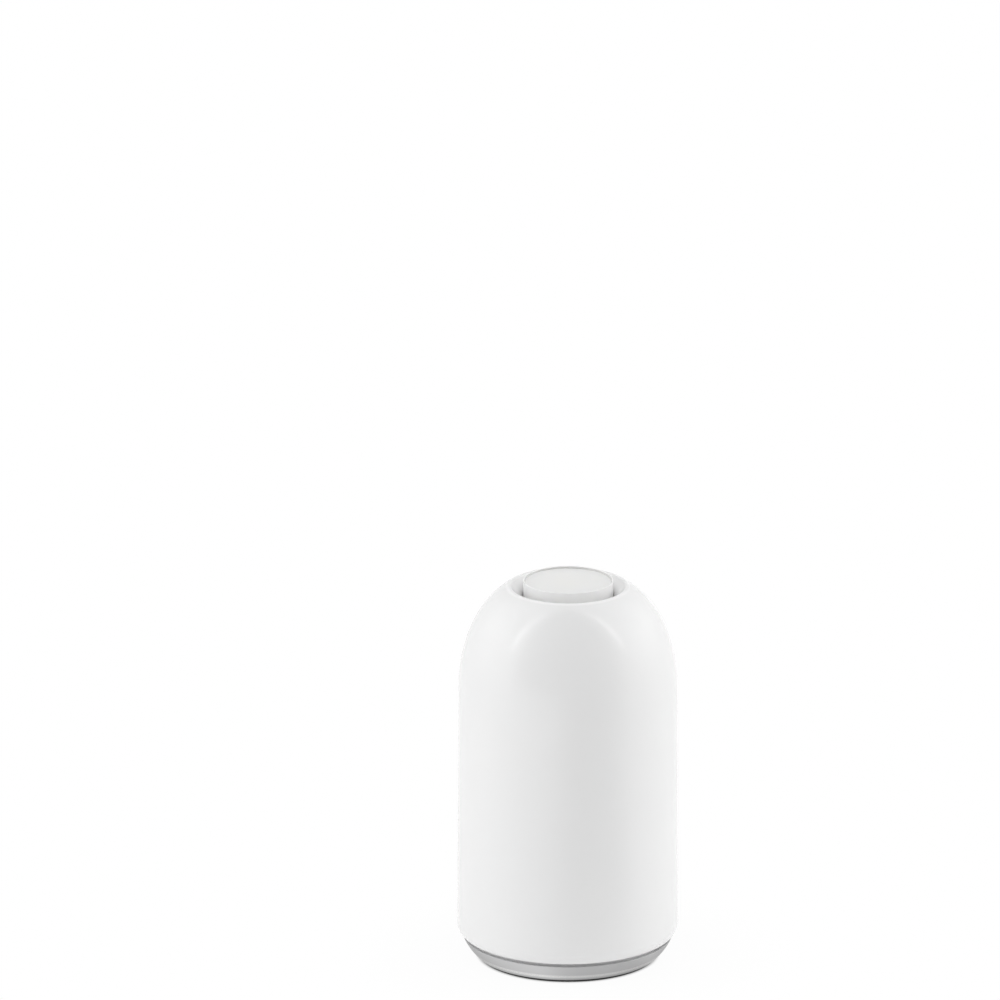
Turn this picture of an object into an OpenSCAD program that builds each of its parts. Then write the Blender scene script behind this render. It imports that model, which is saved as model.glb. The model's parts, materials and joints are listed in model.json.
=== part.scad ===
// Stylus cap: a domed shell with a tapered band at its mouth, a magnet that holds it on,
// and a sprung button in its crown that pushes it off.
// Millimetres. The origin is the centre of the mouth rim, and +Z runs up to the crown.

/* [Plug pocket] */
// Diameter of the pocket that takes the plug
pocket_d = 6.9; // [6.2:0.05:8]
// Depth of the pocket, from the mouth rim to the sleeve's web
pocket_depth = 9; // [7:0.1:14]

/* [Shell] */
// Wall of the shell round the sleeve
shell_wall = 0.5; // [0.4:0.05:1]
// Inward lean of each side, from the mouth to the shoulder
side_draft = 0.06; // [0:0.01:0.2]
// Vertical half-axis of the dome's elliptical section
dome_rise = 4.5; // [3.5:0.05:6]
// Distance from the crown opening's edge inwards to the crest of the dome's section
crown_inset = 0.95; // [0.5:0.05:1.4]
// Width of the flat land round the crown opening
rim_land = 0.1; // [0.05:0.01:0.2]
// Radius of the round at the shell's lower edge
mouth_round = 0.5; // [0.3:0.05:0.9]
// Distance that this round brings the lower edge in
mouth_inset = 0.24; // [0.15:0.01:0.3]

/* [Button] */
// Diameter of the crown opening
opening_d = 4.6; // [3.8:0.1:5.2]
// Depth of the crown opening, from its rim to the underside of its lip
opening_depth = 1.64; // [1.2:0.02:3]
// Width of the dish that leads from the opening's rim in to the button
dish_width = 0.42; // [0.2:0.02:0.6]
// Depth of that dish
dish_depth = 0.45; // [0.2:0.05:0.9]
// Clearance round the button in its hole
button_gap = 0.08; // [0.05:0.01:0.15]
// Height of the button's top above the crown rim
button_proud = 0.24; // [0:0.02:0.4]
// Travel of the button
button_travel = 0.8; // [0.5:0.05:1.2]
// Round of the button's top edge
button_round = 0.08; // [0.04:0.01:0.15]
// Width of the button's flange under the crown lip
flange_lap = 0.6; // [0.4:0.05:0.8]
// Thickness of the button's flange
flange_t = 0.6; // [0.4:0.05:1]
// Clearance round the flange in its chamber
flange_gap = 0.2; // [0.1:0.05:0.3]
// Length of the boss under the flange
boss_len = 0.6; // [0.3:0.05:0.9]
// Thickness left in the button above the pin
button_skin = 1; // [0.6:0.1:1.4]

/* [Spring] */
// Mean diameter of the spring
spring_mean_d = 4.2; // [3.6:0.1:4.6]
// Diameter of the spring's wire
spring_wire_d = 0.28; // [0.2:0.02:0.34]
// Turns of the spring, with its closed ends
spring_turns = 4; // [3:1:6]
// Room left before the pressed spring goes solid
spring_spare = 0.3; // [0.1:0.05:0.6]
// Clearance between the spring and what guides it
spring_guide_gap = 0.15; // [0.1:0.01:0.3]
// Clearance between the spring's ends and their seats
spring_seat_gap = 0.02; // [0.01:0.01:0.05]

/* [Plunger] */
// Diameter of the plunger pin
pin_d = 1.5; // [1:0.1:2]
// Running clearance of the pin in its bush
pin_running_gap = 0.03; // [0.02:0.01:0.05]
// Chamfer of the pin's ends
pin_chamfer = 0.12; // [0.05:0.01:0.18]
// Height of the pin's retaining head
pin_head_h = 0.2; // [0.15:0.01:0.3]
// Depth of the neck above that head
pin_neck_bite = 0.25; // [0.15:0.01:0.35]
// Diameter of the ejector foot
foot_d = 3.8; // [3:0.1:4.6]
// Thickness of the ejector foot
foot_t = 0.7; // [0.6:0.05:1.2]
// Thickness of the foot below the pin
foot_skin = 0.25; // [0.15:0.01:0.35]
// Round of the foot's lower edge
foot_round = 0.15; // [0.05:0.01:0.25]
// Clearance round the foot in its recess
foot_side_gap = 0.2; // [0.1:0.05:0.4]
// Clearance above the foot in its recess
foot_top_gap = 0.1; // [0.05:0.05:0.3]
// Distance that the foot lies back from the web's face
foot_inset = 0.1; // [0.05:0.05:0.3]

/* [Sleeve] */
// Wall of the sleeve
sleeve_wall = 0.48; // [0.4:0.02:0.8]
// Thickness of the web that holds the bush
web_t = 0.9; // [0.6:0.05:1.6]
// Wall of the guide bush
bush_wall = 0.4; // [0.25:0.05:0.5]
// Thickness of the bush's flange
bush_flange_t = 0.3; // [0.2:0.05:0.5]
// Edge break on the sleeve, bush, magnet and washer
edge_break = 0.08; // [0.03:0.01:0.12]

/* [Magnet] */
// Height of the ring magnet
magnet_h = 2; // [1:0.1:3]
// Thickness of the pole washer
pole_t = 0.5; // [0.3:0.05:1]
// Distance that the magnet and washer lie back from the pocket's wall
magnet_inset = 0.05; // [0.02:0.01:0.1]

/* [Mouth band] */
// Height of the band's taper
band_h = 0.84; // [0.5:0.02:1.4]
// Inward lean of the band's taper
band_taper = 0.66; // [0.3:0.02:0.66]
// Outward bulge of the taper at the middle of its height
band_bulge = 0.065; // [0.02:0.005:0.1]
// Round of the band's lower edge
band_round = 0.04; // [0.03:0.01:0.08]
// Edge break at the mouth of the pocket
mouth_break = 0.03; // [0.02:0.01:0.06]
// Height of the reveal between the band and the shell
reveal_h = 0.12; // [0.06:0.01:0.25]
// Width of the neck that bears on the shell's lower edge
neck_lap = 0.1; // [0.05:0.01:0.12]
// Length of the spigot inside the shell
spigot_len = 1.4; // [1.2:0.05:2.4]
// Height of the snap bead on the spigot
snap_h = 0.3; // [0.2:0.02:0.4]
// Depth of the snap bead's bite into the shell
snap_bite = 0.06; // [0.03:0.01:0.1]
// Height of the snap bead above the shell's lower edge
snap_rise = 0.6; // [0.3:0.05:0.7]

/* [Fits] */
// Clearance between pieces that are pressed or bonded together
fit_gap = 0.02; // [0.01:0.005:0.03]

/* [Hidden] */
$fn = 96;

// Straight pieces in a small round, in the band's bulge and in the dome's section
round_steps = 6;
bulge_steps = 10;
dome_steps = 20;
// Sides of the spring's wire, and rings of points in one turn
wire_sides = 8;
rings_per_turn = 20;
// Turns that lie closed at each end of the spring, and the gap between those turns
closed_turns = 1;
closed_gap = 0.02;

// Radii from the pocket outwards
pocket_r = pocket_d / 2;
sleeve_r = pocket_r + sleeve_wall;
bore_r = sleeve_r + fit_gap;
shell_r = bore_r + shell_wall;
shoulder_r = shell_r - side_draft;
ring_in_r = pocket_r + magnet_inset;

// Radii of the mouth band
band_top_r = shell_r - mouth_inset;
band_tip_r = band_top_r - band_taper;
neck_r = bore_r + neck_lap;

// Radii of the button, its chamber and its guide
opening_r = opening_d / 2;
hole_r = opening_r - dish_width;
button_r = hole_r - button_gap;
flange_r = opening_r + flange_lap;
chamber_r = flange_r + flange_gap;
guide_r = (spring_mean_d - spring_wire_d) / 2 - spring_guide_gap;
pin_r = pin_d / 2;
neck_pin_r = pin_r - pin_neck_bite;
bush_in_r = pin_r + pin_running_gap;
bush_r = bush_in_r + bush_wall;
foot_r = foot_d / 2;

// Heights from the mouth rim up
shell_z = band_h + reveal_h;
spigot_z = shell_z + spigot_len;
magnet_z = spigot_z + magnet_h;
sleeve_z = magnet_z + pole_t;
foot_z = pocket_depth + foot_inset;
foot_top_z = foot_z + foot_t;
recess_z = foot_top_z + foot_top_gap;
web_z = recess_z + web_t;
spring_len = (spring_turns + 1) * spring_wire_d + button_travel + spring_spare;
flange_z = web_z + spring_len;
lip_z = flange_z + flange_t;
crown_z = lip_z + opening_depth;
button_z = crown_z + button_proud;
pin_z = foot_z + foot_skin;
pin_head_z = pin_z + pin_head_h;
pin_top_z = button_z - button_skin;
snap_z = shell_z + snap_rise;

// The angle that the shell's lower round turns through before the mouth face cuts it
mouth_turn = acos(1 - mouth_inset / mouth_round);

// The dome's elliptical section: where it starts, and the angle at which it meets the rim's land
dome_c = opening_r - crown_inset;
dome_run = shoulder_r - dome_c;
dome_end = acos((crown_inset + rim_land) / dome_run);
shoulder_z = crown_z - dome_rise * sin(dome_end);

// The points of an arc about a centre, from one angle to another
function arc(c, r, from, to, steps) =
    [for (i = [0:steps]) let (a = from + (to - from) * i / steps) c + r * [cos(a), sin(a)]];

// A trapezium ring's four points on a wall at radius r, standing out by bite
function snap_ring(r, z, h, bite) =
    [[r, z], [r + bite, z + bite], [r + bite, z + h - bite], [r, z + h]];

// A list of points in the other order
function backwards(points) = [for (i = [len(points) - 1:-1:0]) points[i]];

// A ring of rectangular section with its edges broken
function ring_section(r_in, r_out, z_low, z_high, cut) = [
    [r_in + cut, z_low], [r_out - cut, z_low], [r_out, z_low + cut], [r_out, z_high - cut],
    [r_out - cut, z_high], [r_in + cut, z_high], [r_in, z_high - cut], [r_in, z_low + cut],
];

module turned(points) {
    rotate_extrude() polygon(points);
}

module shell() {
    round_c = [shell_r - mouth_round, shell_z + mouth_round * sin(mouth_turn)];
    lower_edge = arc(round_c, mouth_round, -mouth_turn, 0, round_steps);
    dome = [
        for (i = [0:dome_steps])
            let (a = dome_end * i / dome_steps)
            [dome_c + dome_run * cos(a), shoulder_z + dome_rise * sin(a)]
    ];
    groove = snap_ring(bore_r, snap_z - fit_gap, snap_h + 2 * fit_gap, snap_bite);
    color([0.95, 0.95, 0.95]) turned(concat(
        [[bore_r, shell_z]],
        lower_edge,
        dome,
        [[opening_r, crown_z], [hole_r, crown_z - dish_depth], [hole_r, lip_z], [chamber_r, lip_z]],
        [[chamber_r, web_z], [bore_r, web_z]],
        backwards(groove)
    ));
}

module mouth_band() {
    // The bulged taper is an arc that turns by as much on each side of its chord's lean
    chord = norm([band_taper, band_h]);
    lean = atan2(band_h, band_taper);
    half_turn = 2 * atan(2 * band_bulge / chord);
    foot_lean = lean - half_turn;
    bulge_r = chord / (2 * sin(half_turn));
    bulge_c = [band_tip_r, 0] + bulge_r * [-sin(foot_lean), cos(foot_lean)];
    taper = arc(bulge_c, bulge_r, foot_lean - 90, lean + half_turn - 90, bulge_steps);
    // The round turns from the rim's flat until it runs along the foot of the taper
    round_c = [band_tip_r - band_round * tan(foot_lean / 2), band_round];
    lower_edge = arc(round_c, band_round, -90, foot_lean - 90, round_steps);
    color([0.74, 0.74, 0.75]) turned(concat(
        [[pocket_r, mouth_break], [pocket_r + mouth_break, 0]],
        lower_edge,
        [for (i = [1:bulge_steps]) taper[i]],
        [[neck_r, band_h], [neck_r, shell_z], [sleeve_r, shell_z]],
        snap_ring(sleeve_r, snap_z, snap_h, snap_bite),
        [[sleeve_r, spigot_z - edge_break], [sleeve_r - edge_break, spigot_z], [pocket_r, spigot_z]]
    ));
}

module ring_magnet() {
    color([0.62, 0.61, 0.59]) turned(ring_section(ring_in_r, sleeve_r, spigot_z, magnet_z, edge_break));
}

module pole_washer() {
    color([0.5, 0.5, 0.52]) turned(ring_section(ring_in_r, sleeve_r, magnet_z, sleeve_z, edge_break));
}

module sleeve() {
    recess_r = foot_r + foot_side_gap;
    seat_r = bush_r + fit_gap;
    color([0.85, 0.85, 0.86]) turned([
        [pocket_r + edge_break, sleeve_z], [sleeve_r, sleeve_z],
        [sleeve_r, web_z - edge_break], [sleeve_r - edge_break, web_z],
        [seat_r, web_z], [seat_r, recess_z], [recess_r, recess_z],
        [recess_r, pocket_depth], [pocket_r, pocket_depth], [pocket_r, sleeve_z + edge_break],
    ]);
}

module guide_bush() {
    color([0.8, 0.66, 0.36]) turned([
        [bush_in_r + edge_break, recess_z], [bush_r, recess_z], [bush_r, web_z], [guide_r, web_z],
        [guide_r, web_z + bush_flange_t - edge_break], [guide_r - edge_break, web_z + bush_flange_t],
        [bush_in_r + edge_break, web_z + bush_flange_t], [bush_in_r, web_z + bush_flange_t - edge_break],
        [bush_in_r, recess_z + edge_break],
    ]);
}

module button() {
    seat_r = pin_r + fit_gap;
    top_edge = arc([button_r - button_round, button_z - button_round], button_round, 0, 90, round_steps);
    color([0.91, 0.91, 0.9]) turned(concat(
        [[seat_r, flange_z - boss_len], [guide_r, flange_z - boss_len], [guide_r, flange_z]],
        [[flange_r, flange_z], [flange_r, lip_z], [button_r, lip_z]],
        top_edge,
        [[0, button_z], [0, pin_top_z], [seat_r, pin_top_z]]
    ));
}

module plunger_pin() {
    color([0.7, 0.7, 0.72]) turned([
        [0, pin_z], [pin_r - pin_chamfer, pin_z], [pin_r, pin_z + pin_chamfer], [pin_r, pin_head_z],
        [neck_pin_r, pin_head_z], [neck_pin_r, foot_top_z], [pin_r, foot_top_z],
        [pin_r, pin_top_z - pin_chamfer], [pin_r - pin_chamfer, pin_top_z], [0, pin_top_z],
    ]);
}

module return_spring() {
    wire_r = spring_wire_d / 2;
    closed_pitch = spring_wire_d + closed_gap;
    open_turns = spring_turns - 2 * closed_turns;
    wire_rise = spring_len - 2 * spring_seat_gap - spring_wire_d;
    open_pitch = (wire_rise - 2 * closed_turns * closed_pitch) / open_turns;
    rings = spring_turns * rings_per_turn;
    // Height of the wire's centre after t turns: closed at each end, open between
    function wire_z(t) =
        web_z + spring_seat_gap + wire_r
        + closed_pitch * (min(t, closed_turns) + max(0, t - spring_turns + closed_turns))
        + open_pitch * min(max(t - closed_turns, 0), open_turns);
    points = [
        for (i = [0:rings])
            let (turn = i / rings_per_turn)
            for (j = [0:wire_sides - 1])
                let (a = 360 * j / wire_sides, r = spring_mean_d / 2 + wire_r * cos(a))
                [r * cos(360 * turn), r * sin(360 * turn), wire_z(turn) + wire_r * sin(a)]
    ];
    side_faces = [
        for (i = [0:rings - 1])
            for (j = [0:wire_sides - 1])
                let (k = (j + 1) % wire_sides, low = i * wire_sides, high = low + wire_sides)
                for (face = [[low + j, high + j, high + k], [low + j, high + k, low + k]])
                    face
    ];
    first_end = [for (j = [0:wire_sides - 1]) j];
    last_end = [for (j = [wire_sides - 1:-1:0]) rings * wire_sides + j];
    color([0.66, 0.66, 0.68]) polyhedron(points, concat(side_faces, [first_end, last_end]));
}

module ejector_foot() {
    head_r = pin_r + fit_gap;
    hole_r = neck_pin_r + fit_gap;
    lower_edge = arc([foot_r - foot_round, foot_z + foot_round], foot_round, -90, 0, round_steps);
    color([0.55, 0.56, 0.58]) turned(concat(
        [[0, foot_z]],
        lower_edge,
        [[foot_r, foot_top_z], [hole_r, foot_top_z], [hole_r, pin_head_z], [head_r, pin_head_z]],
        [[head_r, pin_z], [0, pin_z]]
    ));
}

shell();
mouth_band();
ring_magnet();
pole_washer();
sleeve();
guide_bush();
button();
plunger_pin();
return_spring();
ejector_foot();
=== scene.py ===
# The looks of the stylus cap: its ten pieces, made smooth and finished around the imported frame.
# Pieces are shaped in millimetres about the cap's axis, and brought to metres when they are done.
import json
import math
from collections import namedtuple

import bmesh
import bpy
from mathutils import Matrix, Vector


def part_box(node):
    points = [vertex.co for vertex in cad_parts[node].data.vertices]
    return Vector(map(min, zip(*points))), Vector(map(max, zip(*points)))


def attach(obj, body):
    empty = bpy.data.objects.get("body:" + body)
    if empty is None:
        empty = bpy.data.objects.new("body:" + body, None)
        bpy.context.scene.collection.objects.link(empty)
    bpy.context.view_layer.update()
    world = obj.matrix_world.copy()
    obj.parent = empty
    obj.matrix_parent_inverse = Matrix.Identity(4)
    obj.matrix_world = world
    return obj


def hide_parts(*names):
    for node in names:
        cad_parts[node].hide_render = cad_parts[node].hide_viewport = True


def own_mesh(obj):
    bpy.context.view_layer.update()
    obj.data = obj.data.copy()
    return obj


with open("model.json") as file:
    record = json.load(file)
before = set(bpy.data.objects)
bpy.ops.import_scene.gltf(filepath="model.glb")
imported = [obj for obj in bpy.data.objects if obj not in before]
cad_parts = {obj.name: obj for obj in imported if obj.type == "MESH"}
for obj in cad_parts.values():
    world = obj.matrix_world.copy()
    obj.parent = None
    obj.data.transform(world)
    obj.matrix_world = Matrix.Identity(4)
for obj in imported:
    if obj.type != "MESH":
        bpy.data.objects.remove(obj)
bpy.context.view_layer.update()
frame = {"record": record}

MM = 0.001

# Sizes from the frame: each node's outer radius and its lowest and highest point, in millimetres
Span = namedtuple("Span", "r low high")


def span(node):
    low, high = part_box(node)
    return Span(*(round(size / MM, 4) for size in (high.x, low.z, high.z)))


RECORD = frame["record"]
BODY_OF = {node: body for body, nodes in RECORD["behaviour"]["bodies"].items() for node in nodes}
POCKET = next(m["dims"] for m in RECORD["mounts"] if m["name"] == "plug_pocket")
SHELL = span("shell")
BAND = span("mouth_band")
MAGNET = span("ring_magnet")
WASHER = span("pole_washer")
SLEEVE = span("sleeve")
BUSH = span("guide_bush")
BUTTON = span("button")
PIN = span("plunger_pin")
SPRING = span("return_spring")
FOOT = span("ejector_foot")

# Shell, in millimetres
SHELL_WALL = 0.5
SIDE_DRAFT = 0.06
DOME_RISE = 4.5
CROWN_INSET = 0.95
RIM_LAND = 0.1
RIM_SOFT = 0.04
MOUTH_ROUND = 0.5
MOUTH_INSET = 0.24
CHAMBER_GAP = 0.2

# Button and the crown opening round it
OPENING_R = 2.3
DISH_WIDTH = 0.46
DISH_DEPTH = 0.45
DISH_Z = SHELL.high - DISH_DEPTH
BUTTON_GAP = 0.04
BUTTON_R = OPENING_R - DISH_WIDTH - BUTTON_GAP
BUTTON_ROUND = 0.015
FACE_LIP = 0.06
FACE_R = BUTTON_R - FACE_LIP
FACE_SINK = 0.08
FACE_SLOPE = 0.02
LIP_DEPTH = 1.64
LIP_Z = SHELL.high - LIP_DEPTH
FLANGE_T = 0.6
BUTTON_SEAT_GAP = 0.02

# Mouth band
BAND_H = 0.84
BAND_TAPER = 0.66
BAND_BULGE = 0.065
BAND_ROUND = 0.04
MOUTH_BREAK = 0.03
NECK_LAP = 0.1

# Snap bead on the band's spigot, and the groove that it clicks into
SNAP_RISE = 0.6
SNAP_H = 0.3
SNAP_BITE = 0.06
FIT_GAP = 0.02

# Inner pieces
MAGNET_INSET = 0.05
EDGE_BREAK = 0.08
BUSH_WALL = 0.4
PIN_RUNNING_GAP = 0.03
PIN_CHAMFER = 0.12
PIN_HEAD_H = 0.2
PIN_NECK_BITE = 0.25
RECESS_GAP = 0.2
FOOT_ROUND = 0.15
WIRE_D = 0.28
CLOSED_GAP = 0.02
SPRING_TURNS = 4

# Where the outer finishes change, mostly painted highlights and painted shade: low and high ends of radii
# and heights
SHELL_FOOT_HIGHLIGHT = (SHELL.low + 0.04, SHELL.low + 0.1)
SHELL_RIM_HIGHLIGHT = (SHELL.high - 0.08, SHELL.high - 0.02)
DISH_SHADE_R = (OPENING_R - 0.1, OPENING_R - 0.02)
DISH_SHADE_FOOT = (DISH_Z - 0.06, DISH_Z - 0.02)
DISH_SHADE_DEEP = (DISH_Z, DISH_Z + DISH_DEPTH * 0.7)
DISC_WARM = (0, 1.6)
DISC_SIDE_SHADE = (FACE_R, FACE_R + FACE_SLOPE)
DISC_CREST_HIGHLIGHT = (BUTTON.high - BUTTON_ROUND, BUTTON.high - BUTTON_ROUND * 0.5)
CORNER_SHADE_INNER = (FACE_R - 0.05, FACE_R)
CORNER_SHADE_OUTER = (FACE_R + 0.03, FACE_R + 0.04)
CORNER_SHADE_TOP = (BUTTON.high - 0.03, BUTTON.high - 0.01)
BAND_OUTSIDE = (POCKET["r_mm"] + 0.05, POCKET["r_mm"] + 0.1)
HIGHLIGHT_RING_LOWER = (0.2, 0.28)
HIGHLIGHT_RING_UPPER = (0.34, 0.42)
PAINTED_RIM_SHADE = (0.095, 0.14)
REVEAL_SHADE_LOWER = (BAND_H - 0.01, BAND_H)
REVEAL_SHADE_UPPER = (SHELL.low, SHELL.low + 0.05)
TOOL_SLANT = 1.7

# Mesh fineness: sides of a ring, steps along an arc or a coil, and segments across a rounded edge
SIDES = 128
INNER_SIDES = 96
WIRE_SIDES = 14
STEPS_PER_TURN = 48
LOWER_ROUND_STEPS = 8
DOME_STEPS = 40
BAND_ROUND_STEPS = 6
BAND_TAPER_STEPS = 16
EDGE_SEGMENTS = 4
BUSH_SEGMENTS = 3
FOOT_SEGMENTS = 6
CREASE = math.radians(32)
SAME_PLACE = 1e-4
ON_RING = SAME_PLACE * 10

# The photograph's frame: the pixel and the scale at the cap's middle, and a long lens in millimetres
IMAGE_PX = 1000
CENTRE_PX = (567.9, 769.0)
PX_PER_MM = 24.92
CAP_MIDDLE = Vector((0, 0, 7.8))
VIEW_ELEVATION = math.radians(18.5)
LENS = 600
SENSOR = 36
CLIP_START = 1


class Turning:
    """A piece made ring by ring about the cap's axis, in millimetres."""

    def __init__(self, name, r, z, sides=SIDES, fill="NOTHING"):
        bpy.ops.object.select_all(action="DESELECT")
        bpy.ops.mesh.primitive_circle_add(vertices=sides, radius=r, fill_type=fill, location=(0, 0, z))
        self.piece = bpy.context.active_object
        self.piece.name = name
        bpy.ops.object.transform_apply()
        bpy.ops.object.mode_set(mode="EDIT")
        bpy.ops.mesh.select_mode(type="EDGE")
        self.first = self.last = (r, z)

    def to(self, *rings):
        """Extrudes the last ring to each new radius and height in turn."""
        for r, z in rings:
            r_was, z_was = self.last
            if math.hypot(r - r_was, z - z_was) < SAME_PLACE:
                continue
            bpy.ops.mesh.extrude_edges_move(TRANSFORM_OT_translate={"value": (0, 0, z - z_was)})
            bpy.ops.transform.resize(value=(r / r_was, r / r_was, 1), center_override=(0, 0, z))
            self.last = (r, z)

    def arc(self, centre, radii, start, end, steps):
        """Extrudes along part of an ellipse about a centre, from one angle to another."""
        for i in range(steps + 1):
            turn = start + (end - start) * i / steps
            self.to((centre[0] + radii[0] * math.cos(turn), centre[1] + radii[1] * math.sin(turn)))

    def close(self):
        """Runs the last ring back onto the first."""
        self.to(self.first)
        bpy.ops.mesh.select_all(action="SELECT")
        bpy.ops.mesh.remove_doubles(threshold=SAME_PLACE)

    def cap(self):
        """Fills the last ring with a flat face."""
        bpy.ops.mesh.edge_face_add()

    def soften(self, width, *rings, segments=EDGE_SEGMENTS):
        """Rounds the edges that run round the piece at these radii and heights."""
        bpy.ops.mesh.select_all(action="DESELECT")
        mesh = bmesh.from_edit_mesh(self.piece.data)
        for edge in mesh.edges:
            places = [(math.hypot(v.co.x, v.co.y), v.co.z) for v in edge.verts]
            runs_along = (all(math.dist(p, ring) < ON_RING for p in places) for ring in rings)
            edge.select_set(any(runs_along))
        bmesh.update_edit_mesh(self.piece.data)
        bpy.ops.mesh.bevel(offset=width, segments=segments, affect="EDGES")

    def done(self):
        """Turns the faces outwards, brings the piece to metres and evens its shading."""
        bpy.ops.mesh.select_all(action="SELECT")
        return finish_mesh(self.piece)


def finish_mesh(piece):
    """Ends the edit of a mesh that is selected all over: outward faces, metres and smooth shading."""
    bpy.ops.mesh.normals_make_consistent(inside=False)
    bpy.ops.transform.resize(value=(MM, MM, MM), center_override=(0, 0, 0))
    bpy.ops.object.mode_set(mode="OBJECT")
    bpy.ops.object.shade_smooth_by_angle(angle=CREASE)
    weights = piece.modifiers.new("even_normals", "WEIGHTED_NORMAL")
    weights.keep_sharp = True
    bpy.ops.object.modifier_apply(modifier=weights.name)
    return piece


def snap_rings(r, z, height):
    """The four rings of a snap bead, or of its groove, on a wall, from the lowest up."""
    proud = r + SNAP_BITE
    return [(r, z), (proud, z + SNAP_BITE), (proud, z + height - SNAP_BITE), (r, z + height)]


def shell_moulding():
    """The bullet-shaped body: drafted side, elliptical dome, open crown and the chamber under it."""
    bore = SHELL.r - SHELL_WALL
    turn = math.acos(1 - MOUTH_INSET / MOUTH_ROUND)
    round_centre = (SHELL.r - MOUTH_ROUND, SHELL.low + MOUTH_ROUND * math.sin(turn))
    crest_r = OPENING_R - CROWN_INSET
    dome_run = SHELL.r - SIDE_DRAFT - crest_r
    dome_end = math.acos((CROWN_INSET + RIM_LAND) / dome_run)
    shoulder_z = SHELL.high - DOME_RISE * math.sin(dome_end)
    hole_r = OPENING_R - DISH_WIDTH
    chamber_r = BUTTON.r + CHAMBER_GAP
    groove_z = SHELL.low + SNAP_RISE - FIT_GAP
    groove = snap_rings(bore, groove_z, SNAP_H + 2 * FIT_GAP)
    work = Turning("shell_moulding", bore, SHELL.low)
    work.arc(round_centre, (MOUTH_ROUND, MOUTH_ROUND), -turn, 0, LOWER_ROUND_STEPS)
    work.arc((crest_r, shoulder_z), (dome_run, DOME_RISE), 0, dome_end, DOME_STEPS)
    work.to((OPENING_R, SHELL.high), (hole_r, DISH_Z), (hole_r, LIP_Z), (chamber_r, LIP_Z))
    work.to((chamber_r, SLEEVE.high), (bore, SLEEVE.high), *reversed(groove))
    work.close()
    rim = [(OPENING_R, SHELL.high), (OPENING_R + RIM_LAND, SHELL.high)]
    lower_edges = [(bore, SHELL.low), (SHELL.r - MOUTH_INSET, SHELL.low)]
    inner_edges = [(hole_r, DISH_Z), (hole_r, LIP_Z), (chamber_r, SLEEVE.high)]
    work.soften(RIM_SOFT, *rim, *lower_edges, *inner_edges)
    return work.done()


def crown_button():
    """The milky disc in the crown, its flange under the lip and the boss that takes the pin."""
    flange_z = LIP_Z - FLANGE_T
    seat_r = PIN.r + BUTTON_SEAT_GAP
    crest = [(FACE_R + FACE_SLOPE, BUTTON.high), (BUTTON_R, BUTTON.high)]
    work = Turning("crown_button", FACE_R, BUTTON.high - FACE_SINK, fill="NGON")
    work.to(*crest, (BUTTON_R, LIP_Z), (BUTTON.r, LIP_Z), (BUTTON.r, flange_z), (BUSH.r, flange_z))
    work.to((BUSH.r, BUTTON.low), (seat_r, BUTTON.low), (seat_r, PIN.high))
    work.cap()
    work.soften(BUTTON_ROUND, *crest)
    flange_edges = [(BUTTON.r, LIP_Z), (BUTTON.r, flange_z)]
    work.soften(RIM_SOFT, *flange_edges, (BUSH.r, BUTTON.low), (seat_r, BUTTON.low))
    return work.done()


def tapered_band():
    """The metal band: rim, round and bulged taper outside, neck and snap spigot inside the shell."""
    chord = math.hypot(BAND_TAPER, BAND_H)
    lean = math.atan2(BAND_H, BAND_TAPER)
    half_turn = 2 * math.atan(2 * BAND_BULGE / chord)
    foot_lean = lean - half_turn
    bulge_r = chord / (2 * math.sin(half_turn))
    tip_r = BAND.r - BAND_TAPER
    bulge_centre = (tip_r - bulge_r * math.sin(foot_lean), bulge_r * math.cos(foot_lean))
    round_cut = BAND_ROUND * math.tan(foot_lean / 2)
    down = -math.pi / 2
    neck_r = SHELL.r - SHELL_WALL + NECK_LAP
    pocket_r = POCKET["r_mm"]
    round_centre = (tip_r - round_cut, BAND_ROUND)
    foot_turn = down + foot_lean + round_cut / bulge_r
    work = Turning("tapered_band", pocket_r, MOUTH_BREAK)
    work.to((pocket_r + MOUTH_BREAK, BAND.low))
    work.arc(round_centre, (BAND_ROUND, BAND_ROUND), down, down + foot_lean, BAND_ROUND_STEPS)
    work.arc(bulge_centre, (bulge_r, bulge_r), foot_turn, down + lean + half_turn, BAND_TAPER_STEPS)
    work.to((neck_r, BAND_H), (neck_r, SHELL.low), (SLEEVE.r, SHELL.low))
    work.to(*snap_rings(SLEEVE.r, SHELL.low + SNAP_RISE, SNAP_H))
    work.to((SLEEVE.r, BAND.high - EDGE_BREAK), (SLEEVE.r - EDGE_BREAK, BAND.high))
    work.to((pocket_r, BAND.high))
    work.close()
    work.soften(RIM_SOFT / 2, (BAND.r, BAND_H))
    return work.done()


def plain_ring(name, ring, inner_r, soft):
    """A flat-faced ring whose four edges are rounded over."""
    corners = [(inner_r, ring.low), (ring.r, ring.low), (ring.r, ring.high), (inner_r, ring.high)]
    work = Turning(name, *corners[0], sides=INNER_SIDES)
    work.to(*corners[1:])
    work.close()
    work.soften(soft, *corners)
    return work.done()


def magnet_ring():
    return plain_ring("magnet_ring", MAGNET, POCKET["r_mm"] + MAGNET_INSET, EDGE_BREAK)


def backing_washer():
    return plain_ring("backing_washer", WASHER, POCKET["r_mm"] + MAGNET_INSET, EDGE_BREAK)


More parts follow.
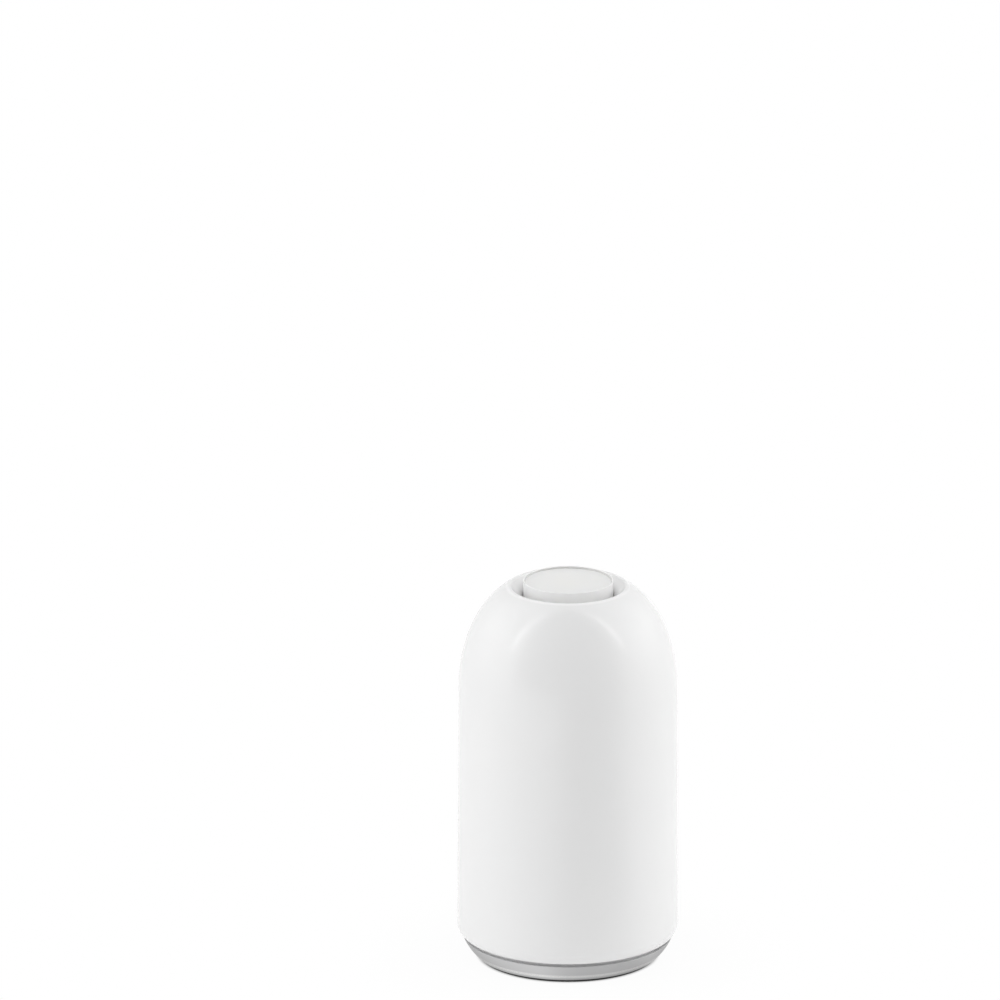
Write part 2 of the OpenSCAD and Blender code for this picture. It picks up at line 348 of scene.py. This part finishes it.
def pocket_sleeve():
    """The moulded cup that lines the pocket, with the foot's recess and the bush's seat in its web."""
    pocket_r = POCKET["r_mm"]
    depth = POCKET["length_mm"]
    recess_r = FOOT.r + RECESS_GAP
    seat_r = PIN.r + PIN_RUNNING_GAP + BUSH_WALL + FIT_GAP
    work = Turning("pocket_sleeve", pocket_r, SLEEVE.low, sides=INNER_SIDES)
    work.to((SLEEVE.r, SLEEVE.low), (SLEEVE.r, SLEEVE.high), (seat_r, SLEEVE.high), (seat_r, BUSH.low))
    work.to((recess_r, BUSH.low), (recess_r, depth), (pocket_r, depth))
    work.close()
    work.soften(EDGE_BREAK, (pocket_r, SLEEVE.low), (SLEEVE.r, SLEEVE.high), (recess_r, depth))
    work.soften(RIM_SOFT, (seat_r, SLEEVE.high), (pocket_r, depth), (recess_r, BUSH.low))
    return work.done()


def brass_bush():
    """The flanged bush that guides the pin."""
    inner_r = PIN.r + PIN_RUNNING_GAP
    outer_r = inner_r + BUSH_WALL
    work = Turning("brass_bush", inner_r, BUSH.low, sides=INNER_SIDES)
    work.to((outer_r, BUSH.low), (outer_r, SLEEVE.high), (BUSH.r, SLEEVE.high), (BUSH.r, BUSH.high))
    work.to((inner_r, BUSH.high))
    work.close()
    broken_edges = [(inner_r, BUSH.low), (inner_r, BUSH.high), (BUSH.r, BUSH.high)]
    work.soften(EDGE_BREAK, *broken_edges, segments=BUSH_SEGMENTS)
    work.soften(RIM_SOFT, (outer_r, BUSH.low))
    return work.done()


def steel_pin():
    """The ground pin: chamfered ends, and a neck above the head that the foot snaps over."""
    neck_r = PIN.r - PIN_NECK_BITE
    head_z = PIN.low + PIN_HEAD_H
    end_r = PIN.r - PIN_CHAMFER
    work = Turning("steel_pin", end_r, PIN.low, sides=INNER_SIDES, fill="NGON")
    work.to((PIN.r, PIN.low + PIN_CHAMFER), (PIN.r, head_z), (neck_r, head_z), (neck_r, FOOT.high))
    work.to((PIN.r, FOOT.high), (PIN.r, PIN.high - PIN_CHAMFER), (end_r, PIN.high))
    work.cap()
    work.soften(RIM_SOFT / 2, (end_r, PIN.low), (PIN.r, head_z), (PIN.r, FOOT.high), (end_r, PIN.high))
    return work.done()


def soft_foot():
    """The silicone foot on the pin's head, with a round lower edge."""
    head_r = PIN.r + FIT_GAP
    hole_r = PIN.r - PIN_NECK_BITE + FIT_GAP
    head_z = PIN.low + PIN_HEAD_H
    work = Turning("soft_foot", FOOT.r, FOOT.low, sides=INNER_SIDES, fill="NGON")
    work.to((FOOT.r, FOOT.high), (hole_r, FOOT.high), (hole_r, head_z))
    work.to((head_r, head_z), (head_r, PIN.low))
    work.cap()
    work.soften(FOOT_ROUND, (FOOT.r, FOOT.low), segments=FOOT_SEGMENTS)
    work.soften(RIM_SOFT, (FOOT.r, FOOT.high), (hole_r, FOOT.high))
    return work.done()


def coil_length(name, z, pitch, turns):
    """One stretch of the spring's wire: a ring of the wire, screwed up the axis."""
    wire_r = WIRE_D / 2
    mean_r = SPRING.r - wire_r
    bpy.ops.object.select_all(action="DESELECT")
    bpy.ops.mesh.primitive_circle_add(
        vertices=WIRE_SIDES, radius=wire_r, location=(mean_r, 0, z), rotation=(math.pi / 2, 0, 0)
    )
    stretch = bpy.context.active_object
    stretch.name = name
    bpy.ops.object.transform_apply()
    screw = stretch.modifiers.new("winding", "SCREW")
    screw.axis = "Z"
    screw.angle = 2 * math.pi
    screw.screw_offset = pitch
    screw.iterations = turns
    screw.steps = screw.render_steps = STEPS_PER_TURN
    bpy.ops.object.modifier_apply(modifier=screw.name)
    return stretch


def coil_spring():
    """The return spring: a closed turn at each end, and open turns between."""
    wire_r = WIRE_D / 2
    closed_pitch = WIRE_D + CLOSED_GAP
    open_turns = SPRING_TURNS - 2
    low = SPRING.low + wire_r
    high = SPRING.high - wire_r
    open_pitch = (high - low - 2 * closed_pitch) / open_turns
    lower = coil_length("coil_spring", low, closed_pitch, 1)
    middle = coil_length("coil_middle", low + closed_pitch, open_pitch, open_turns)
    upper = coil_length("coil_upper", high - closed_pitch, closed_pitch, 1)
    for stretch in (middle, upper, lower):
        stretch.select_set(True)
    bpy.context.view_layer.objects.active = lower
    bpy.ops.object.join()
    bpy.ops.object.mode_set(mode="EDIT")
    bpy.ops.mesh.select_all(action="SELECT")
    bpy.ops.mesh.remove_doubles(threshold=SAME_PLACE)
    bpy.ops.mesh.select_mode(type="EDGE")
    bpy.ops.mesh.select_all(action="DESELECT")
    bpy.ops.mesh.select_non_manifold()
    bpy.ops.mesh.edge_face_add()
    bpy.ops.mesh.select_all(action="SELECT")
    return finish_mesh(lower)


def colour(red, green, blue):
    return (red, green, blue, 1)


def grey(tone):
    return colour(tone, tone, tone)


def direction(azimuth, elevation):
    """A unit vector by degrees: azimuth 0 is the photograph's side, and 90 its right."""
    a = math.radians(azimuth)
    e = math.radians(elevation)
    return Vector((math.sin(a) * math.cos(e), -math.cos(a) * math.cos(e), math.sin(e)))


class Number:
    """What a shader socket gives: a number for Python sums, or a colour, vector or shader to link on."""

    def __init__(self, nodes, socket):
        self.nodes = nodes
        self.socket = socket

    def maths(self, operation, first, second):
        return self.nodes.node("ShaderNodeMath", {"operation": operation}, {0: first, 1: second})

    def __add__(self, other):
        return self.maths("ADD", self, other)

    __radd__ = __add__

    def __sub__(self, other):
        return self.maths("SUBTRACT", self, other)

    def __rsub__(self, other):
        return self.maths("SUBTRACT", other, self)

    def __mul__(self, other):
        return self.maths("MULTIPLY", self, other)

    __rmul__ = __mul__

    def __pow__(self, other):
        return self.maths("POWER", self, other)

    def within(self, low, high, to_low=0.0, to_high=1.0):
        """Runs smoothly from one value to another as this number goes from low to high."""
        ends = {"From Min": low, "From Max": high, "To Min": to_low, "To Max": to_high}
        return self.nodes.node(
            "ShaderNodeMapRange", {"interpolation_type": "SMOOTHSTEP"}, {"Value": self, **ends}
        )


class Nodes:
    """A node tree that is written as Python sums."""

    def __init__(self, tree):
        self.tree = tree
        tree.nodes.clear()

    def node(self, kind, settings=None, sockets=None, output=0):
        """Adds a node: its settings first, then the values or links of its sockets."""
        made = self.tree.nodes.new(kind)
        for name, value in (settings or {}).items():
            setattr(made, name, value)
        for name, value in (sockets or {}).items():
            if isinstance(value, Number):
                self.tree.links.new(value.socket, made.inputs[name])
            else:
                made.inputs[name].default_value = value
        return Number(self, made.outputs[output]) if made.outputs else None

    def ray(self, kind):
        """1 on rays of this kind, and 0 on others."""
        return self.node("ShaderNodeLightPath", output=f"Is {kind} Ray")

    def seen(self):
        """1 on rays from the eye and in reflections and clear materials, and 0 on light's own way."""
        looked_at = self.ray("Camera")
        mirrored = looked_at.maths("MAXIMUM", looked_at, self.ray("Glossy"))
        return mirrored.maths("MAXIMUM", mirrored, self.ray("Transmission"))

    def facing(self, way, azimuth):
        """How squarely a direction points to an azimuth, seen from above: 1 at it, and 0 across it."""
        level = self.node("ShaderNodeVectorMath", {"operation": "MULTIPLY"}, {0: way, 1: (1, 1, 0)})
        unit = self.node("ShaderNodeVectorMath", {"operation": "NORMALIZE"}, {0: level})
        sockets = {0: unit, 1: direction(azimuth, 0)}
        return self.node("ShaderNodeVectorMath", {"operation": "DOT_PRODUCT"}, sockets, output="Value")

    def light(self, kind, strength):
        """A white light of this strength, from an Emission or a Background."""
        return self.node(f"ShaderNode{kind}", {}, {"Color": grey(1), "Strength": strength})

    def blend(self, share, first, second):
        """A shader between two, by a share from 0 to 1."""
        return self.node("ShaderNodeMixShader", {}, {0: share, 1: first, 2: second})


class Finish(Nodes):
    """A surface finish that reads places on the piece in millimetres."""

    def __init__(self, name):
        self.material = bpy.data.materials.new(name)
        self.material.use_nodes = True
        super().__init__(self.material.node_tree)
        metres = self.node("ShaderNodeTexCoord", output="Object")
        self.place = self.node(
            "ShaderNodeVectorMath", {"operation": "SCALE"}, {"Vector": metres, "Scale": 1 / MM}
        )
        self.x, self.y, self.z = (
            self.node("ShaderNodeSeparateXYZ", {}, {"Vector": self.place}, output=axis) for axis in "XYZ"
        )
        self.r = (self.x * self.x + self.y * self.y) ** 0.5

    def noise(self, scale, detail=2.0, stretch=(1, 1, 1)):
        """Soft noise from 0 to 1, with about this many swings in a millimetre."""
        place = self.node("ShaderNodeMapping", {}, {"Vector": self.place, "Scale": stretch})
        return self.node("ShaderNodeTexNoise", {}, {"Vector": place, "Scale": scale, "Detail": detail})

    def lathe_lines(self, scale, detail=3.0):
        """Noise that runs round the axis in rings, as a tool leaves it."""
        across = self.z + self.r * TOOL_SLANT
        settings = {"noise_dimensions": "1D"}
        return self.node("ShaderNodeTexNoise", settings, {"W": across, "Scale": scale, "Detail": detail})

    def mix(self, share, first, second):
        """A colour between two, by a share from 0 to 1."""
        return self.node("ShaderNodeMix", {"data_type": "RGBA"}, {0: share, 6: first, 7: second}, output=2)

    def relief(self, height, depth):
        """The normal of a surface with this height, from 0 to 1, over a depth in millimetres."""
        return self.node("ShaderNodeBump", {}, {"Height": height, "Distance": depth * MM})

    def surface(self, **sockets):
        """Ends the finish in one Principled shader; a socket's name is written with underscores."""
        named = {name.replace("_", " "): value for name, value in sockets.items()}
        shader = self.node("ShaderNodeBsdfPrincipled", {}, named)
        self.node("ShaderNodeOutputMaterial", {}, {"Surface": shader})
        return self.material


def gloss_white():
    """Polished white moulding: painted highlights on the lower edge and crown rim, painted light and shade
    in the dish, paler outside and darker towards the disc, orange peel and faint haze.
    """
    f = Finish("gloss_white")
    tone = f.mix(f.noise(0.2, 3), colour(0.9, 0.902, 0.905), colour(0.93, 0.93, 0.927))
    # Painted highlights: the shell's lower edge and its crown rim are made near white
    edges = f.z.within(*SHELL_FOOT_HIGHLIGHT, 1, 0) + f.z.within(*SHELL_RIM_HIGHLIGHT)
    edge_highlighted = f.mix(edges, tone, grey(0.99))
    # Painted light and shade in the dish: paler than the shell near the rim, darkening towards the disc
    dish_shade_mask = f.r.within(*DISH_SHADE_R, 1, 0) * f.z.within(*DISH_SHADE_FOOT)
    dish = f.mix(f.z.within(*DISH_SHADE_DEEP, 1, 0), grey(0.97), grey(0.7))
    dish_shaded = f.mix(dish_shade_mask, edge_highlighted, dish)
    haze = f.noise(0.9, 5)
    peel = f.noise(2.6, 1) * 0.8 + f.noise(14, 2) * 0.2
    return f.surface(
        Base_Color=dish_shaded, Roughness=0.12 + haze * 0.08, IOR=1.5, Normal=f.relief(peel, 0.0012)
    )


def milky_white():
    """Milky satin plastic: warmer at its middle, its side darker as painted shade, a painted highlight
    along its crest, and painted shade where its sunk face meets the lip.
    """
    f = Finish("milky_white")
    top = f.mix(f.r.within(*DISC_WARM, 1, 0), colour(0.93, 0.935, 0.93), colour(0.955, 0.95, 0.92))
    cloud = f.mix(f.noise(1.1, 3), top, colour(0.955, 0.955, 0.94))
    # Painted shade: past the sunk face, the side of the disc and everything under it are greyer
    side_shaded = f.mix(f.r.within(*DISC_SIDE_SHADE), cloud, colour(0.86, 0.86, 0.855))
    # Painted highlight: the top of the lip round the face is made near white
    crest_highlighted = f.mix(f.z.within(*DISC_CREST_HIGHLIGHT), side_shaded, colour(0.99, 0.99, 0.985))
    # Painted shade: darker where the sunk face meets the inside of the lip
    corner_shade = f.r.within(*CORNER_SHADE_INNER) * f.r.within(*CORNER_SHADE_OUTER, 1, 0) * f.z.within(*CORNER_SHADE_TOP, 1, 0)
    shaded = f.mix(corner_shade, crest_highlighted, colour(0.67, 0.665, 0.655))
    grain = f.noise(22, 2)
    return f.surface(
        Base_Color=shaded, Roughness=0.3 + grain * 0.14, IOR=1.49, Normal=f.relief(grain, 0.0008),
        Subsurface_Weight=0.25, Subsurface_Radius=(1, 1, 0.9), Subsurface_Scale=0.0005
    )


def turned_steel():
    """Satin steel off the lathe: fine rings, a smoother ring with a painted highlight, painted shade along
    the lower rim, and a painted shade tone, grey and mostly non-metal, in the gap under the shell.
    """
    f = Finish("turned_steel")
    lines = f.lathe_lines(22)
    drift = f.noise(0.7, 3)
    tone = f.mix(lines * 0.6 + drift * 0.4, colour(0.56, 0.56, 0.565), grey(0.66))
    # Painted highlight: a ring low on the band is made paler, and smoother as well
    ring = f.r.within(*BAND_OUTSIDE) * f.z.within(*HIGHLIGHT_RING_LOWER) * f.z.within(*HIGHLIGHT_RING_UPPER, 1, 0)
    highlight_ring = ring * f.noise(1.6, 3).within(0.2, 0.5, 0.5, 1)
    bright = f.mix(highlight_ring, tone, colour(0.77, 0.77, 0.765))
    # Painted shade: the lowest edge of the band, where it meets the floor, is near black
    rim_shaded = f.mix(f.z.within(*PAINTED_RIM_SHADE, 1, 0), bright, grey(0.035))
    # Painted shade: in the gap between the band and the shell, the steel turns to a plain grey, mostly
    # non-metal, that sets how dark the gap looks
    reveal_shade = f.z.within(*REVEAL_SHADE_LOWER) * f.z.within(*REVEAL_SHADE_UPPER, 1, 0)
    shaded = f.mix(reveal_shade, rim_shaded, colour(0.62, 0.62, 0.625))
    rough = 0.3 + lines * 0.12 + drift * 0.06 - highlight_ring * 0.12
    return f.surface(
        Base_Color=shaded, Metallic=1 - reveal_shade * 0.7, Roughness=rough, Normal=f.relief(lines, 0.0014),
        Specular_Tint=grey(0.6)
    )


def nickel_plate():
    """Bright nickel over a pressed magnet: soft ripples, and a warm cast that comes and goes."""
    f = Finish("nickel_plate")
    cast = f.noise(0.8, 4)
    ripple = f.noise(5, 3)
    tone = f.mix(cast, colour(0.60, 0.575, 0.53), colour(0.67, 0.65, 0.61))
    return f.surface(
        Base_Color=tone, Metallic=1.0, Roughness=0.14 + cast * 0.16, Normal=f.relief(ripple, 0.003)
    )


def zinc_plate():
    """Blue-grey zinc with faint crystals."""
    f = Finish("zinc_plate")
    crystals = f.node("ShaderNodeTexVoronoi", {}, {"Vector": f.place, "Scale": 5.0}, output="Distance")
    speck = f.noise(9, 3)
    tone = f.mix(crystals * 0.7 + speck * 0.3, colour(0.5, 0.53, 0.57), colour(0.62, 0.63, 0.64))
    return f.surface(
        Base_Color=tone, Metallic=1.0, Roughness=0.3 + crystals * 0.2, Normal=f.relief(speck, 0.002)
    )


def matt_white():
    """White moulding with a spark-eroded grain."""
    f = Finish("matt_white")
    grain = f.noise(13, 3)
    drift = f.noise(0.5, 3)
    tone = f.mix(grain * 0.4 + drift * 0.6, colour(0.74, 0.74, 0.73), colour(0.82, 0.82, 0.815))
    return f.surface(
        Base_Color=tone, Roughness=0.5 + grain * 0.2, IOR=1.5, Normal=f.relief(grain, 0.006)
    )


def turned_brass():
    """Turned brass with light tarnish between its tool lines."""
    f = Finish("turned_brass")
    lines = f.lathe_lines(16)
    tarnish = f.noise(1.8, 4).within(0.4, 0.75)
    tone = f.mix(lines, colour(0.74, 0.53, 0.23), colour(0.84, 0.64, 0.33))
    dull = f.mix(tarnish, tone, colour(0.52, 0.36, 0.16))
    rough = 0.2 + lines * 0.12 + tarnish * 0.14
    return f.surface(Base_Color=dull, Metallic=1.0, Roughness=rough, Normal=f.relief(lines, 0.002))


def ground_steel():
    """Centreless-ground steel: very fine rings and a bright, even face."""
    f = Finish("ground_steel")
    lines = f.lathe_lines(34)
    drift = f.noise(1.2, 3)
    tone = f.mix(lines * 0.7 + drift * 0.3, colour(0.55, 0.555, 0.565), colour(0.68, 0.68, 0.685))
    return f.surface(
        Base_Color=tone, Metallic=1.0, Roughness=0.16 + lines * 0.14, Normal=f.relief(lines, 0.001)
    )


def drawn_wire():
    """Spring wire: die marks, and a straw tint from tempering."""
    f = Finish("drawn_wire")
    marks = f.noise(11, 3)
    temper = f.noise(0.9, 2).within(0.35, 0.7)
    tone = f.mix(marks, colour(0.44, 0.445, 0.46), colour(0.58, 0.58, 0.585))
    straw = f.mix(temper * 0.35, tone, colour(0.58, 0.5, 0.38))
    return f.surface(
        Base_Color=straw, Metallic=1.0, Roughness=0.24 + marks * 0.18, Normal=f.relief(marks, 0.003)
    )


def soft_silicone():
    """Grey silicone: a matt skin with a fine grain and a little dust."""
    f = Finish("soft_silicone")
    grain = f.noise(18, 3)
    dust = f.noise(40, 2).within(0.66, 0.74)
    tone = f.mix(f.noise(1.3, 3), colour(0.27, 0.28, 0.3), colour(0.34, 0.35, 0.37))
    dusty = f.mix(dust * 0.5, tone, grey(0.52))
    return f.surface(
        Base_Color=dusty, Roughness=0.62 + grain * 0.2, IOR=1.42, Normal=f.relief(grain, 0.006)
    )


def dress(piece, material, node):
    """Gives a piece its finish, puts it in its node's body, and hides the node's imported part."""
    piece.data.materials.clear()
    piece.data.materials.append(material)
    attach(piece, BODY_OF[node])
    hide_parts(node)


dress(shell_moulding(), gloss_white(), "shell")
dress(crown_button(), milky_white(), "button")
dress(tapered_band(), turned_steel(), "mouth_band")
dress(magnet_ring(), nickel_plate(), "ring_magnet")
dress(backing_washer(), zinc_plate(), "pole_washer")
dress(pocket_sleeve(), matt_white(), "sleeve")
dress(brass_bush(), turned_brass(), "guide_bush")
dress(steel_pin(), ground_steel(), "plunger_pin")
dress(soft_foot(), soft_silicone(), "ejector_foot")

spring = coil_spring()
dress(spring, drawn_wire(), "return_spring")
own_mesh(spring)

# Studio: a pale floor in a white tent. Floor sizes are in millimetres, and glows are shares of white
FLOOR_SIZE = 6000
FLOOR_DROP = 0.002
FLOOR_TONE = 0.9
FLOOR_BOUNCE = 0.3
CONTACT_R = 3.45
NEAR_R = 3.75
NEAR_GLOW = 0.96
FAR_R = 10

# A dark patch of floor that only reflections see, in front and a little to the right
PATCH_AZIMUTH = 24
PATCH_SPREAD = (0.72, 1.0)
PATCH_R = (6, 18)
PATCH_NEAR = 0.3
PATCH_GLOW = 0.1

# The tent: its even light, and what only reflections see, a dark opening in front and pale side panels
# with bright front edges. Pairs are how squarely a direction faces the front, or how far it rises
AMBIENT = 0.15
OPENING_SIDE = (0.4, 0.65)
OPENING_GLOW = 0.1
PANEL_BACK = (-0.9, -0.5)
PANEL_FRONT = (-0.1, 0.2)
PANEL_FOOT = (0.0, 0.3)
PANEL_GLOW = 1.35
EDGE_OUTER = (0.23, 0.3)
EDGE_INNER = (0.3, 0.37)
EDGE_FOOT = (0.3, 0.6)
EDGE_HEAD = (0.92, 0.98)
EDGE_GLOW = 6.0

# Soft lamps that reflections don't see: angles in degrees, sizes in millimetres and powers in watts
Softbox = namedtuple("Softbox", "name azimuth elevation distance width height power")
SOFTBOXES = [
    Softbox("left_box", -93, 11, 600, 600, 500, 2.36),
    Softbox("right_box", 106, 10, 600, 600, 500, 2.67),
    Softbox("front_box", 2, 10, 600, 600, 600, 1.5),
    Softbox("top_box", 0, 89, 600, 600, 600, 1.75),
]


def pale_floor():
    """The floor: white to the eye, with the cap's soft shadow close by, and dark in front to mirrors."""
    bpy.ops.object.select_all(action="DESELECT")
    bpy.ops.mesh.primitive_plane_add(size=FLOOR_SIZE * MM, location=(0, 0, -FLOOR_DROP * MM))
    floor = bpy.context.active_object
    floor.name = "floor"
    f = Finish("pale_floor")
    shade = f.node("ShaderNodeBsdfDiffuse", {}, {"Color": grey(FLOOR_TONE)})
    white, dark = (f.light("Emission", strength) for strength in (1.0, PATCH_GLOW))
    near = f.r.within(CONTACT_R, NEAR_R, 0, NEAR_GLOW)
    lit = FLOOR_BOUNCE + f.seen() * (1 - FLOOR_BOUNCE)
    share = lit * f.r.within(NEAR_R, FAR_R, near, 1)
    spread = f.facing(f.place, PATCH_AZIMUTH).within(*PATCH_SPREAD) * f.r.within(*PATCH_R, PATCH_NEAR, 1)
    patch = spread * f.ray("Glossy")
    mixed = f.blend(share, shade, f.blend(patch, white, dark))
    f.node("ShaderNodeOutputMaterial", {}, {"Surface": mixed})
    floor.data.materials.append(f.material)


def white_surround():
    """The world: white to the eye, the tent to reflections, and a plain even light on everything."""
    world = bpy.data.worlds.new("surround")
    bpy.context.scene.world = world
    world.use_nodes = True
    w = Nodes(world.node_tree)
    strengths = (AMBIENT, 1.0, OPENING_GLOW, PANEL_GLOW, EDGE_GLOW)
    even, white, dark, pale, bright = (w.light("Background", strength) for strength in strengths)
    way = w.node("ShaderNodeTexCoord", output="Generated")
    front = w.facing(way, 0)
    rise = w.node("ShaderNodeSeparateXYZ", {}, {"Vector": way}, output="Z")
    opened = w.blend(front.within(*OPENING_SIDE), white, dark)
    panels = front.within(*PANEL_BACK) * front.within(*PANEL_FRONT, 1, 0) * rise.within(*PANEL_FOOT)
    panelled = w.blend(panels, opened, pale)
    edges = front.within(*EDGE_OUTER) * front.within(*EDGE_INNER, 1, 0)
    edges = edges * rise.within(*EDGE_FOOT) * rise.within(*EDGE_HEAD, 1, 0)
    tent = w.blend(edges, panelled, bright)
    mixed = w.blend(w.seen(), even, w.blend(w.ray("Glossy"), white, tent))
    w.node("ShaderNodeOutputWorld", {}, {"Surface": mixed})


def hang(box):
    """Hangs one softbox at its place, facing the cap's middle."""
    towards = direction(box.azimuth, box.elevation)
    bpy.ops.object.light_add(type="AREA", location=(CAP_MIDDLE + towards * box.distance) * MM)
    lamp = bpy.context.active_object
    lamp.name = box.name
    lamp.rotation_euler = towards.to_track_quat("Z", "Y").to_euler()
    lamp.data.shape = "RECTANGLE"
    lamp.data.size = box.width * MM
    lamp.data.size_y = box.height * MM
    lamp.data.energy = box.power
    lamp.visible_camera = False
    lamp.visible_glossy = False


def photograph_view():
    """The camera: a long lens that puts the cap's middle on its pixel, at the photograph's scale."""
    distance = LENS / SENSOR * IMAGE_PX / PX_PER_MM
    right_mm, down_mm = ((px - IMAGE_PX / 2) / PX_PER_MM for px in CENTRE_PX)
    elevation = VIEW_ELEVATION - math.atan2(down_mm, distance)
    back = direction(0, math.degrees(elevation))
    right = Vector((1, 0, 0))
    up = back.cross(right)
    aim = CAP_MIDDLE - right * right_mm + up * down_mm
    bpy.ops.object.camera_add(location=(aim + back * distance) * MM)
    camera = bpy.context.active_object
    camera.name = "photograph_camera"
    camera.rotation_euler = back.to_track_quat("Z", "Y").to_euler()
    camera.data.lens = LENS
    camera.data.sensor_width = SENSOR
    camera.data.clip_start = CLIP_START * MM
    bpy.context.scene.camera = camera


pale_floor()
white_surround()
for box in SOFTBOXES:
    hang(box)
photograph_view()
bpy.context.scene.view_settings.view_transform = "Standard"
